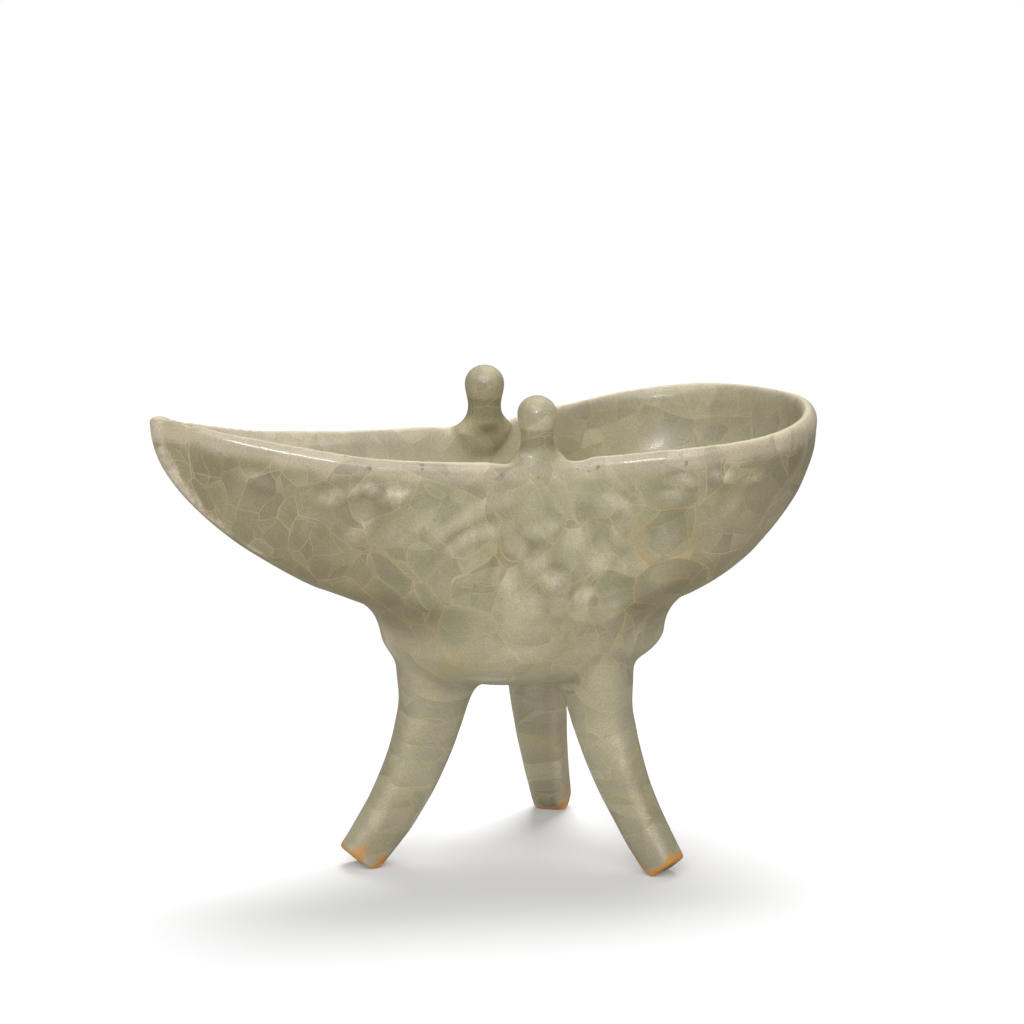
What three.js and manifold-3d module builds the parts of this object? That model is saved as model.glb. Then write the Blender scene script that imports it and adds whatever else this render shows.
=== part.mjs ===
// A celadon libation cup of the jue form, in the pieces that a potter lutes together in leather-hard clay:
// two moulded halves of the body, three legs, two posts on the rim, and the clay pressed round those joints.
// Millimetres, +Z up. +X runs to the spout and -X to the tail, from the line across the cup at the posts.
import * as THREE from "three";
import { mergeVertices } from "three/addons/utils/BufferGeometryUtils.js";
import Module from "manifold-3d";

const wasm = await Module();
wasm.setup();

// Clay
const wall = 3.2; // side walls, glaze included
const floorThickness = 5; // under the inside of the belly
const slipGap = 0.3; // slip line that is left at each luted seat

// Belly: an oval cup with a rounded lower edge
const bellyTail = 27.5; // post line to its tail end, outside
const bellySpout = 34; // post line to its spout end, outside
const bellyHalf = 25; // half width, outside
const baseHeight = 38.4; // underside above the table
const bellyPower = 3.4; // superellipse power of its upright section
const creaseHeight = 54.4; // height at which the spout and the tail spring from it
const creaseFillet = 4.5; // length of each side of the fillet in that crease

// Rim, measured on the outside of the lip
const tailReach = 77.5; // post line to the tail's tip
const tailTipRadius = 2.8; // outside
const tailEndRadius = 1.4; // inside, where the two walls meet
const tailSolid = 10; // solid clay between those two
const spoutReach = 65.7; // post line to the spout's end
const waistHalf = 22.1; // half width at the posts
const spoutHalf = 32.8; // widest half width, in the spout
const spoutWidestAt = 38; // post line to that width
const rimHeight = 87.5; // crest of the lip at the posts
const tailRise = 10.2; // how much higher the crest is at the tail's tip
const spoutRise = 6; // and at the spout's end
const lipRise = 1.7; // height of the rounded lip

// Shape of the wings' undersides and of the rim's outline: powers with no unit
const tailKeelPower = 0.65;
const spoutKeelPower = 0.79;
const tailRisePower = 2.4;
const spoutRisePower = 1.35;
const tailOutline = { bend: 2.2, taper: 1.5 };

// Legs. A leg's head is set in from the belly's flank, and its foot is splayed out from its head.
const legRootDepth = 9; // how far the uncut leg reaches up past the belly's underside
const legBow = 1.93; // power of the outward curve
const legSquareness = 2.5; // superellipse power of the section
const soleLift = 0.8; // height of the sole's centre above the table: the lowest edge is rubbed flat
const pairAngle = 53.5; // of the front and back legs from the spout's direction
const tailLeg = { inset: 12.3, splay: 19, rootRadius: 7.8, footRadius: 4.3 };
const pairLeg = { inset: 6.3, splay: 17, rootRadius: 6.2, footRadius: 4.1 };
const legs = [
  { name: "tail_leg", angle: 180, ...tailLeg },
  { name: "front_leg", angle: -pairAngle, ...pairLeg },
  { name: "back_leg", angle: pairAngle, ...pairLeg },
];

// Clay pressed round the head of each leg
const collarDrop = 4.5; // how far it runs down the leg from the belly's underside
const collarRise = 2; // and how far up past it, on the outer side
const collarFlare = 2; // how far it spreads at the underside
const collarEdge = 0.6; // thickness of its lower edge
const collarLean = 0.8; // share of the spread that goes to the inner side of the leg

// Posts
const postInset = 4.3; // post's axis to the outside of the lip
const postStagger = 1.2; // each post stands this far off the post line, the front one towards the tail
const saddleDrop = 7; // clay under the post runs this far down the inside wall
const saddleTop = 4; // and ends this far above the lip
const saddleHalf = 6.6; // half length along the lip
const saddleDepth = 3.7; // half depth across the lip
const postNeck = 3.2; // radius
const knobRadius = 4.2;
const knobCentre = 8.75; // above the lip

// Facets
const stations = 56; // round the body
const bellySteps = 6;
const filletSteps = 3;
const wingSteps = 7;
const lipSteps = 4;
const sectionSides = 18;
const legSteps = 9;
const collarSteps = 4;
const saddleSteps = 4;
const knobSteps = 8;
const weldDistance = 1e-4; // points nearer than this are one

const radians = THREE.MathUtils.degToRad;
const mix = THREE.MathUtils.lerp;

// Closed surface through a stack of rings with as many points each, capped by a fan at both ends.
function loft(rings) {
  const count = rings[0].length;
  const middle = (ring) => ring.reduce((sum, p) => sum.add(p), new THREE.Vector3()).divideScalar(count);
  const points = [...rings.flat(), middle(rings[0]), middle(rings.at(-1))];
  const bottom = points.length - 2;
  const top = points.length - 1;
  const lastRing = (rings.length - 1) * count;
  const index = [];
  for (let k = 0; k < count; k++) {
    const next = (k + 1) % count;
    index.push(bottom, next, k, top, lastRing + k, lastRing + next);
    for (let a = 0; a < lastRing; a += count) {
      const b = a + count;
      index.push(a + k, a + next, b + k, a + next, b + next, b + k);
    }
  }
  return new THREE.BufferGeometry().setFromPoints(points).setIndex(index);
}

function toSolid(geometry) {
  const bare = geometry.clone();
  bare.deleteAttribute("normal");
  bare.deleteAttribute("uv");
  const merged = mergeVertices(bare, weldDistance);
  const vertProperties = new Float32Array(merged.getAttribute("position").array);
  const triVerts = new Uint32Array(merged.index.array);
  return new wasm.Manifold(new wasm.Mesh({ numProp: 3, vertProperties, triVerts }));
}

function toGeometry(solid) {
  const { numProp, numVert, vertProperties, triVerts } = solid.getMesh();
  const positions = new Float32Array(numVert * 3);
  for (let i = 0; i < numVert; i++) {
    positions.set(vertProperties.subarray(i * numProp, i * numProp + 3), i * 3);
  }
  return new THREE.BufferGeometry()
    .setAttribute("position", new THREE.BufferAttribute(positions, 3))
    .setIndex(new THREE.BufferAttribute(triVerts, 1));
}

// A box that is far larger than the cup, with one face through the origin, on the side that `side` points to.
function halfSpace(side) {
  const size = 4 * (tailReach + spoutReach);
  const shift = side.clone().multiplyScalar(size / 2);
  return toSolid(new THREE.BoxGeometry(size, size, size).translate(shift.x, shift.y, shift.z));
}

// The sizes of the body's outer or inner face, moved outwards by `grow`.
function outerFace(grow) {
  return {
    bellyTail: bellyTail + grow,
    bellySpout: bellySpout + grow,
    bellyHalf: bellyHalf + grow,
    base: baseHeight - grow,
    crease: creaseHeight - grow,
    tail: tailReach + grow,
    tip: tailTipRadius + grow,
    spout: spoutReach + grow,
    waist: waistHalf + grow,
    widest: spoutHalf + grow,
    lip: rimHeight - lipRise,
  };
}

function innerFace(grow) {
  return {
    bellyTail: bellyTail - wall - grow,
    bellySpout: bellySpout - wall - grow,
    bellyHalf: bellyHalf - wall - grow,
    base: baseHeight + floorThickness + grow,
    crease: creaseHeight + wall + grow,
    tail: tailReach - tailSolid - grow,
    tip: tailEndRadius,
    spout: spoutReach - wall - grow,
    waist: waistHalf - wall - grow,
    widest: spoutHalf - wall - grow,
    lip: rimHeight - lipRise,
  };
}

// Half width of the rim at c, which is -1 at the tail's tip, 0 at the posts and 1 at the spout's end.
function rimHalfWidth(c, face) {
  if (c < 0) {
    const leaf = face.waist * (1 - (-c) ** tailOutline.bend) ** tailOutline.taper;
    const fromTip = Math.min((1 + c) * face.tail, face.tip);
    return Math.hypot(leaf, Math.sqrt(fromTip * (2 * face.tip - fromTip)) * (1 - leaf / face.waist));
  }
  const widestAt = spoutWidestAt / spoutReach;
  if (c < widestAt) return mix(face.waist, face.widest, THREE.MathUtils.smoothstep(c, 0, widestAt));
  return face.widest * Math.sqrt(1 - ((c - widestAt) / (1 - widestAt)) ** 2);
}

function rimPoint(angle, face) {
  const c = Math.cos(angle);
  const reach = c < 0 ? face.tail : face.spout;
  const rise = c < 0 ? tailRise * (-c) ** tailRisePower : spoutRise * c ** spoutRisePower;
  const side = Math.sin(angle) < 0 ? -1 : 1;
  return new THREE.Vector3(reach * c, side * rimHalfWidth(Math.min(c, 1), face), face.lip + rise);
}

// One upright line of the body's face, from just off the middle of the base up to the lip.
function meridian(angle, face) {
  const rim = rimPoint(angle, face);
  const c = Math.cos(angle);
  const keelPower = mix(tailKeelPower, spoutKeelPower, (1 + c) / 2);
  const belly = (turn) => {
    const out = Math.sin(turn) ** (2 / bellyPower);
    const down = Math.cos(turn) ** (2 / bellyPower);
    return new THREE.Vector3(
      (c < 0 ? face.bellyTail : face.bellySpout) * c * out,
      face.bellyHalf * Math.sin(angle) * out,
      mix(face.crease, face.base, down),
    );
  };
  const crease = belly(Math.PI / 2);
  const wing = (turn) => {
    const point = new THREE.Vector3().lerpVectors(crease, rim, Math.sin(turn));
    point.z = mix(crease.z, rim.z, (1 - Math.cos(turn)) ** keelPower);
    return point;
  };
  const towards = (point) => {
    return crease.clone().lerp(point, Math.min(1, creaseFillet / crease.distanceTo(point)));
  };
  const points = [];
  for (let i = 1; i < bellySteps; i++) points.push(belly((i / bellySteps) * (Math.PI / 2)));
  const below = towards(points.at(-1));
  const above = towards(wing(Math.PI / 2 / wingSteps));
  points.push(...new THREE.QuadraticBezierCurve3(below, crease, above).getPoints(filletSteps));
  for (let i = 1; i <= wingSteps; i++) points.push(wing((i / wingSteps) * (Math.PI / 2)));
  return points;
}

// Solid through the upright lines that `line` gives at each station round the body.
function bodySolid(line) {
  const lines = [];
  for (let k = 0; k < stations; k++) lines.push(line((k / stations) * 2 * Math.PI));
  return toSolid(loft(lines[0].map((_, level) => lines.map((points) => points[level]))));
}

// The whole body as a shell with a round lip, its faces moved outwards by `grow`.
function bodyShell(grow = 0) {
  return bodySolid((angle) => {
    const outer = meridian(angle, outerFace(grow));
    const inner = meridian(angle, innerFace(grow));
    const lip = [];
    for (let i = 1; i < lipSteps; i++) {
      const turn = (i / lipSteps) * Math.PI;
      const point = outer.at(-1).clone().lerp(inner.at(-1), (1 - Math.cos(turn)) / 2);
      point.z += (lipRise + grow) * Math.sin(turn);
      lip.push(point);
    }
    return [...outer, ...lip, ...inner.reverse()];
  });
}

// The body's outer form with its hollow filled, moved outwards by `grow`.
function bodyForm(grow) {
  return bodySolid((angle) => meridian(angle, outerFace(grow)));
}

// Ring of points about `centre`, spanned by two half axes.
function section(centre, across, along, power = 2) {
  const ring = [];
  for (let k = 0; k < sectionSides; k++) {
    const turn = (k / sectionSides) * 2 * Math.PI;
    const a = Math.sign(Math.cos(turn)) * Math.abs(Math.cos(turn)) ** (2 / power);
    const b = Math.sign(Math.sin(turn)) * Math.abs(Math.sin(turn)) ** (2 / power);
    ring.push(centre.clone().addScaledVector(across, a).addScaledVector(along, b));
  }
  return ring;
}

// Ring of a leg with its centre at height z, its radius grown by `grow` and its centre moved in by `inward`.
function legRing(leg, z, grow, inward = 0) {
  const out = new THREE.Vector3(Math.cos(radians(leg.angle)), Math.sin(radians(leg.angle)), 0);
  const flank = 1 / Math.hypot(out.x / (out.x < 0 ? bellyTail : bellySpout), out.y / bellyHalf);
  const head = baseHeight + legRootDepth;
  const length = head - soleLift;
  const drop = (head - z) / length;
  const reach = flank - leg.inset + leg.splay * drop ** legBow - inward;
  const centre = out.clone().multiplyScalar(reach).setZ(z);
  const down = out.clone().multiplyScalar(leg.splay * legBow * drop ** (legBow - 1)).setZ(-length);
  const across = new THREE.Vector3().crossVectors(out, new THREE.Vector3(0, 0, 1));
  const along = new THREE.Vector3().crossVectors(across, down.normalize());
  const radius = mix(leg.rootRadius, leg.footRadius, drop) + grow;
  return section(centre, across.multiplyScalar(radius), along.multiplyScalar(radius), legSquareness);
}

function legForm(leg, grow = 0) {
  const rings = [];
  for (let i = 0; i <= legSteps; i++) {
    rings.push(legRing(leg, mix(soleLift, baseHeight + legRootDepth, i / legSteps), grow));
  }
  return toSolid(loft(rings));
}

// Clay pressed into the corner between a leg's head and the belly.
function collarForm(leg) {
  const rings = [];
  for (let i = 0; i <= collarSteps; i++) {
    const climb = (i / collarSteps) * (collarDrop + collarRise);
    const flare = collarFlare * (climb / collarDrop) ** 2;
    const spread = slipGap + collarEdge + flare;
    rings.push(legRing(leg, baseHeight - collarDrop + climb, spread, flare * collarLean));
  }
  return toSolid(loft(rings));
}

// Clay pressed over the lip under a post: a tongue down the inside wall, and a flare that draws in to the neck.
function saddleForm(post) {
  const ring = (z, half, depth) => {
    const centre = new THREE.Vector3(post.x, post.y, rimHeight + z);
    return section(centre, new THREE.Vector3(half, 0, 0), new THREE.Vector3(0, depth, 0));
  };
  const rings = [];
  for (let i = 1; i <= saddleSteps; i++) {
    const climb = i / saddleSteps;
    const round = Math.sqrt(1 - (1 - climb) ** 2);
    rings.push(ring(-saddleDrop * (1 - climb), saddleHalf * round, saddleDepth * round));
  }
  for (let i = 1; i <= saddleSteps; i++) {
    const climb = i / saddleSteps;
    const half = mix(postNeck, saddleHalf, (1 - climb) ** 2);
    const depth = mix(postNeck, saddleDepth, (1 - climb) ** 2);
    rings.push(ring(saddleTop * climb, half, depth));
  }
  return toSolid(loft(rings));
}

// Neck and knob, turned about the post's own axis, with Z = 0 at the height of the lip.
function postGeometry() {
  const seat = saddleTop + slipGap;
  const neckEnd = knobCentre - Math.sqrt(knobRadius ** 2 - postNeck ** 2);
  const profile = [new THREE.Vector2(0, seat), new THREE.Vector2(postNeck, seat)];
  const start = Math.asin((neckEnd - knobCentre) / knobRadius);
  for (let i = 0; i <= knobSteps; i++) {
    const turn = mix(start, Math.PI / 2, i / knobSteps);
    profile.push(new THREE.Vector2(knobRadius * Math.cos(turn), knobCentre + knobRadius * Math.sin(turn)));
  }
  profile.at(-1).x = 0;
  return new THREE.LatheGeometry(profile, sectionSides).rotateX(Math.PI / 2);
}

const glaze = { color: 0x9f9b82, roughness: 0.22, metalness: 0 };

function piece(name, geometry) {
  const mesh = new THREE.Mesh(geometry, new THREE.MeshStandardMaterial(glaze));
  mesh.name = name;
  return mesh;
}

const pieces = new THREE.Group();
const body = bodyShell();
const front = halfSpace(new THREE.Vector3(0, -1, 0));
const back = halfSpace(new THREE.Vector3(0, 1, 0));
pieces.add(piece("body_front_half", toGeometry(body.intersect(front))));
pieces.add(piece("body_back_half", toGeometry(body.intersect(back))));

const legSeat = bodyForm(slipGap);
const belowTable = halfSpace(new THREE.Vector3(0, 0, -1));
for (const leg of legs) {
  const cutLeg = legForm(leg).subtract(legSeat).subtract(belowTable);
  pieces.add(piece(leg.name, toGeometry(cutLeg)));
  const collar = collarForm(leg).subtract(legSeat).subtract(legForm(leg, slipGap));
  pieces.add(piece(leg.name + "_collar", toGeometry(collar)));
}

const postSeat = bodyShell(slipGap);
const postY = waistHalf - postInset;
const posts = [
  { name: "front_post", x: -postStagger, y: -postY },
  { name: "back_post", x: postStagger, y: postY },
];
for (const post of posts) {
  pieces.add(piece(post.name + "_saddle", toGeometry(saddleForm(post).subtract(postSeat))));
  const mesh = piece(post.name, postGeometry());
  mesh.position.set(post.x, post.y, rimHeight);
  pieces.add(mesh);
}

// The origin is the middle of the cup's box, on the table.
const box = new THREE.Box3().setFromObject(pieces);
const middle = box.getCenter(new THREE.Vector3());
pieces.position.set(-middle.x, -middle.y, -box.min.z);

const cup = new THREE.Group();
cup.add(pieces);
export default cup;
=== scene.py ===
import math

import bmesh
import bpy
import numpy as np
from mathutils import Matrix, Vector, noise


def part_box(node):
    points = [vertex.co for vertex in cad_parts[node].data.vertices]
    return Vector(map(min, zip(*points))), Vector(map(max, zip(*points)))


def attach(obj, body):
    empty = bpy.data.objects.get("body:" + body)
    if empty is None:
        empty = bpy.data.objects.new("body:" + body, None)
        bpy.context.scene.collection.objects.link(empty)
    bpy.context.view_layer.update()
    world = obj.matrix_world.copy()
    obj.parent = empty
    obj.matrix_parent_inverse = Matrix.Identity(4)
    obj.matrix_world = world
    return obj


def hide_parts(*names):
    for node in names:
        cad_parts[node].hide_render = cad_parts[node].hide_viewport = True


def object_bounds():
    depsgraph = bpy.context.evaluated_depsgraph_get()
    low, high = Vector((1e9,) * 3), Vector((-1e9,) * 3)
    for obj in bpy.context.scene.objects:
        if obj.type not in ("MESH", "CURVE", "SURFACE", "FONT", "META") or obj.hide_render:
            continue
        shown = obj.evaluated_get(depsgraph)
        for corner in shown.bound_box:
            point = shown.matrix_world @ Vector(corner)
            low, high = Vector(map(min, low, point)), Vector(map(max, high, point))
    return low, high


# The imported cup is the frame. The clay is modelled in millimetres and goes to metres with the last step.
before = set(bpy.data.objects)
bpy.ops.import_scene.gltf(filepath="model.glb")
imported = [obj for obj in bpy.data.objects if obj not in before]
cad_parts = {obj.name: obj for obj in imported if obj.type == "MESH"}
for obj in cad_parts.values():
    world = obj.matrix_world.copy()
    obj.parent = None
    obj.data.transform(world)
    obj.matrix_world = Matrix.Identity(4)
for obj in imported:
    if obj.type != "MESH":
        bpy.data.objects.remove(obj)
cadLow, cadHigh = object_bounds()
millimetre = 0.001
boxMargin = 0.001       # millimetres kept free inside the frame's box
weld = 0.002
print("frame loaded:", len(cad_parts), "nodes")


# Small helpers

def mix(a, b, share):
    return a + (b - a) * share


def ramp(value, low, high):
    share = np.clip((value - low) / (high - low), 0, 1)
    return share * share * (3 - 2 * share)


def inScene(name, data):
    obj = bpy.data.objects.new(name, data)
    bpy.context.scene.collection.objects.link(obj)
    return obj


def meshFrom(name, bm, material):
    mesh = bpy.data.meshes.new(name)
    bm.to_mesh(mesh)
    bm.free()
    mesh.materials.append(material)
    return mesh


def nodeMiddle(node):
    low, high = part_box(node)
    return (low + high) / 2 / millimetre


# Clay through a stack of rings: a flat grid is rolled up, and its seam and its two poles are welded.
def throughRings(rings):
    bm = bmesh.new()
    around, along = len(rings[0]), len(rings) - 1
    grid = bmesh.ops.create_grid(bm, x_segments=around, y_segments=along, size=1)["verts"]
    for vert in grid:
        column = round((vert.co.x + 1) / 2 * around) % around
        row = round((vert.co.y + 1) / 2 * along)
        vert.co = rings[row][column]
    bmesh.ops.remove_doubles(bm, verts=bm.verts, dist=weld)
    bmesh.ops.recalc_face_normals(bm, faces=bm.faces)
    return bm


# Body: an oval belly, the long tail and the broad spout above it, and a hollow

bodyClay = {
    "wall": 3.2,
    "floor": 5,
    "bellyTail": 28.1,      # post line to the belly's ends
    "bellySpout": 34,
    "bellyHalf": 25,
    "bellyPower": 3.4,
    "base": 38.4,           # underside above the table
    "crease": 54.4,         # where the tail and the spout spring from the belly
    "creaseFillet": 8,
    "tail": 77.5,           # post line to the tail's tip
    "tailTip": 2.1,
    "tailEnd": 1.4,
    "tailSolid": 8.5,
    "spout": 65.7,
    "waist": 22.9,
    "widest": 32.8,
    "widestAt": 38,
    "rim": 87.5,
    "tailRise": 10.2,
    "spoutRise": 6,
    "lipRise": 2.8,
    "tipLip": 0.8,          # the lip's rise at the tail's tip
    "crest": 2.2,           # the lip's crest, in from the outside
    "tailKeel": 0.65,       # powers of the undersides and of the rim
    "spoutKeel": 0.79,
    "tailRisePower": 2.4,
    "spoutRisePower": 1.35,
    "tailBend": 2.2,
    "tailTaper": 1.58,
    "tipLipPower": 5,
    "bellyEnd": 0.8,        # shares of a quarter turn, where the fillet takes over from the curves
    "filletEnd": 0.16,
    "wingStart": 0.2,
    "stations": 280,
    "bellyRows": 16,
    "filletRows": 8,
    "wingRows": 26,
    "lipRows": 14,
}
postLine = cadLow.x / millimetre + bodyClay["tail"]


def bodyFace(inside):
    b = bodyClay
    wall = b["wall"] if inside else 0
    return {
        "bellyTail": b["bellyTail"] - wall,
        "bellySpout": b["bellySpout"] - wall,
        "bellyHalf": b["bellyHalf"] - wall,
        "base": b["base"] + (b["floor"] if inside else 0),
        "crease": b["crease"] + wall,
        "tail": b["tail"] - (b["tailSolid"] if inside else 0),
        "tip": b["tailEnd"] if inside else b["tailTip"],
        "spout": b["spout"] - wall,
        "waist": b["waist"] - wall,
        "widest": b["widest"] - wall,
    }


def rimRise(c):
    b = bodyClay
    return b["tailRise"] * (-c) ** b["tailRisePower"] if c < 0 else b["spoutRise"] * c ** b["spoutRisePower"]


def lipRise(c):
    return mix(bodyClay["lipRise"], bodyClay["tipLip"], max(0, -c) ** bodyClay["tipLipPower"])


# c is -1 at the tail's tip, 0 at the posts and 1 at the spout's end
def rimHalfWidth(c, face):
    b = bodyClay
    if c < 0:
        leaf = face["waist"] * max(0, 1 - (-c) ** b["tailBend"]) ** b["tailTaper"]
        fromTip = min((1 + c) * face["tail"], face["tip"])
        tip = math.sqrt(max(0, fromTip * (2 * face["tip"] - fromTip)))
        return math.hypot(leaf, tip * (1 - leaf / face["waist"]))
    widestAt = b["widestAt"] / b["spout"]
    if c < widestAt:
        share = c / widestAt
        return mix(face["waist"], face["widest"], share * share * (3 - 2 * share))
    return face["widest"] * math.sqrt(max(0, 1 - ((c - widestAt) / (1 - widestAt)) ** 2))


def bodyLine(angle, inside):
    b = bodyClay
    face = bodyFace(inside)
    c, s = math.cos(angle), math.sin(angle)
    side = -1 if s < 0 else 1
    end, reach = ("bellyTail", "tail") if c < 0 else ("bellySpout", "spout")
    edge = b["lipRise"] if inside else lipRise(c)
    height = b["rim"] - edge + rimRise(c * face[reach] / b[reach])
    rim = Vector((face[reach] * c, side * rimHalfWidth(c, face), height))
    keel = mix(b["tailKeel"], b["spoutKeel"], (1 + c) / 2)

    def belly(turn):
        out = max(0, math.sin(turn)) ** (2 / b["bellyPower"])
        down = max(0, math.cos(turn)) ** (2 / b["bellyPower"])
        level = mix(face["crease"], face["base"], down)
        return Vector((face[end] * c * out, face["bellyHalf"] * s * out, level))

    corner = belly(math.pi / 2)

    def wing(turn):
        point = corner.lerp(rim, math.sin(turn))
        point.z = mix(corner.z, rim.z, (1 - math.cos(turn)) ** keel)
        return point

    def towards(point):
        return corner.lerp(point, min(1, b["creaseFillet"] / (point - corner).length))

    quarter = math.pi / 2
    points = [belly(quarter * i / b["bellyRows"] * b["bellyEnd"]) for i in range(b["bellyRows"] + 1)]
    below, above = towards(points[-1]), towards(wing(quarter * b["filletEnd"]))
    for i in range(b["filletRows"] + 1):
        share = i / b["filletRows"]
        points.append(below.lerp(corner, share).lerp(corner.lerp(above, share), share))
    points += [wing(quarter * mix(b["wingStart"], 1, i / b["wingRows"])) for i in range(b["wingRows"] + 1)]
    return points


def bodyRings():
    b = bodyClay
    lines = []
    for k in range(b["stations"]):
        angle = 2 * math.pi * k / b["stations"]
        outer, inner = bodyLine(angle, False), bodyLine(angle, True)
        lip = []
        across = (inner[-1] - outer[-1]).length
        crestHeight = outer[-1].z + lipRise(math.cos(angle))
        scoop = min(1, max(0, across - b["wall"]) / b["wall"])
        for i in range(1, b["lipRows"]):
            share = (1 - math.cos(math.pi * i / b["lipRows"])) / 2
            point = outer[-1].lerp(inner[-1], share)
            rise = share * across / b["crest"]
            fall = (share * across - b["crest"]) / (across - b["crest"])
            if rise < 1:
                point.z = mix(outer[-1].z, crestHeight, math.sqrt(rise * (2 - rise)))
            else:
                arched = math.sqrt(max(0, 1 - fall * fall))
                waved = (1 + math.cos(math.pi * fall)) / 2
                point.z = mix(inner[-1].z, crestHeight, mix(arched, waved, scoop))
            lip.append(point)
        lines.append(outer + lip + inner[::-1])
    shift = Vector((postLine, 0, 0))
    return [[line[row] + shift for line in lines] for row in range(len(lines[0]))]


# Legs: a rounded square in section, bowed outwards, with a flared head

legClay = {
    "rootDepth": 9,
    "squareness": 3.3,
    "soleLift": 1.25,       # the middle of the tilted sole, which stands on its inner edge
    "flare": 1.1,           # spread of the head where it meets the belly
    "flareDrop": 9,
    "leanFrom": 37.5,       # the head leans in above this height, and ends inside the belly
    "lean": 7,
    "headCover": 1,         # clay between a leg's head and the hollow
    "headSlope": 0.25,      # a head is cut higher on its outer side
    # head and foot: angle and distance from the post line
    "tail_leg": {"angles": (180, 180), "reach": (16.3, 34.2), "radii": (7.8, 4.3),
                 "bow": 2.25, "taper": 0.85},
    "front_leg": {"angles": (-47, -51.2), "reach": (19.6, 37.5), "radii": (6.8, 3.85),
                  "bow": 2.1, "taper": 1},
    "back_leg": {"angles": (53.9, 54.6), "reach": (20.4, 37.0), "radii": (7.1, 3.9),
                 "bow": 2.05, "taper": 1},
    "sides": 48,
    "rows": 48,
}
legNames = ("tail_leg", "front_leg", "back_leg")


def legPlace(leg, z):
    head = bodyClay["base"] + legClay["rootDepth"]
    drop = max(0, (head - z) / (head - legClay["soleLift"]))
    angle = math.radians(mix(*leg["angles"], drop))
    out = Vector((math.cos(angle), math.sin(angle), 0))
    lean = max(0, z - legClay["leanFrom"]) / (head - legClay["leanFrom"])
    reach = mix(*leg["reach"], drop ** leg["bow"]) - legClay["lean"] * lean ** 2
    return out * reach + Vector((postLine, 0, z)), out, drop


def legRings(leg):
    head = bodyClay["base"] + legClay["rootDepth"]
    rings = []
    for i in range(legClay["rows"] + 1):
        z = mix(legClay["soleLift"], head, i / legClay["rows"])
        centre, out, drop = legPlace(leg, z)
        level = min(z, legClay["leanFrom"])
        down = (legPlace(leg, level - 1)[0] - legPlace(leg, level)[0]).normalized()
        across = out.cross(Vector((0, 0, 1)))
        along = across.cross(down).normalized()
        climb = min(1, max(0, z - bodyClay["base"] + legClay["flareDrop"]) / legClay["flareDrop"])
        radius = mix(*leg["radii"], drop ** leg["taper"]) + legClay["flare"] * climb ** 2
        ring = []
        for k in range(legClay["sides"]):
            turn = 2 * math.pi * k / legClay["sides"]
            a = math.copysign(abs(math.cos(turn)) ** (2 / legClay["squareness"]), math.cos(turn))
            o = math.copysign(abs(math.sin(turn)) ** (2 / legClay["squareness"]), math.sin(turn))
            ring.append(centre + across * a * radius + along * o * radius)
        rings.append(ring)
    count = legClay["sides"]
    return [[sum(rings[0], Vector()) / count] * count, *rings, [sum(rings[-1], Vector()) / count] * count]


# Posts: a knob on a short neck, and the clay that spreads under it along the lip

postClay = {
    "saddleDrop": 7,        # the tongue down the inside wall
    "saddleTop": 4,
    "saddleHalf": 7.2,
    "saddleDepth": 2.2,
    "saddleCurves": (0.5, 0.6),     # powers of its width and of its depth
    "saddleLean": 0.16,     # the tongue leans with the wall
    "spread": 1.04,         # the posts stand a little further out than the frame's
    "neck": 3.55,
    "neckTop": 4.4,
    "knob": 4.2,
    "knobCentre": 9,        # above the lip
    "top": 12.95,
    "sides": 48,
    "rows": 24,
}
postNames = ("front_post", "back_post")
postAxes = {name: nodeMiddle(name) * Vector((1, postClay["spread"], 1)) for name in postNames}


def saddleRings(axis):
    p = postClay
    rows = p["rows"]
    sizes = []
    for i in range(rows + 1):
        climb = i / rows
        wide, deep = (climb ** power for power in p["saddleCurves"])
        sizes.append((-p["saddleDrop"] * (1 - climb), p["saddleHalf"] * wide, p["saddleDepth"] * deep))
    for i in range(1, rows + 1):
        draw = (1 - i / rows) ** 2
        half, depth = mix(p["neck"], p["saddleHalf"], draw), mix(p["neck"], p["saddleDepth"], draw)
        sizes.append((p["saddleTop"] * i / rows, half, depth))
    sizes.append((p["saddleTop"], 0, 0))
    turns = [2 * math.pi * k / p["sides"] for k in range(p["sides"])]
    lip, side = bodyClay["rim"], math.copysign(1, axis.y)
    rings = []
    for z, half, depth in sizes:
        y = axis.y - side * min(0, z) * p["saddleLean"]
        rings.append([Vector((axis.x + half * math.cos(t), y + depth * math.sin(t), lip + z)) for t in turns])
    return rings


def postTurned(axis):
    p = postClay
    bm = bmesh.new()
    profile = [(0, 0), (p["neck"], 0)]
    for i in range(p["rows"]):
        share = i / p["rows"]
        swell = share * share * (3 - 2 * share)
        profile.append((mix(p["neck"], p["knob"], swell), mix(p["neckTop"], p["knobCentre"], share)))
    for i in range(p["rows"] + 1):
        turn = math.pi / 2 * i / p["rows"]
        profile.append((p["knob"] * math.cos(turn), mix(p["knobCentre"], p["top"], math.sin(turn))))
    verts = [bm.verts.new((axis.x + r, axis.y, bodyClay["rim"] + z)) for r, z in profile]
    edges = [bm.edges.new(pair) for pair in zip(verts, verts[1:])]
    bmesh.ops.spin(bm, geom=verts + edges, cent=(axis.x, axis.y, 0), axis=(0, 0, 1), angle=2 * math.pi,
                   steps=p["sides"], use_merge=True)
    bmesh.ops.remove_doubles(bm, verts=bm.verts, dist=weld)
    bmesh.ops.recalc_face_normals(bm, faces=bm.faces)
    return bm


# One skin over the luted clay

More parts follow.
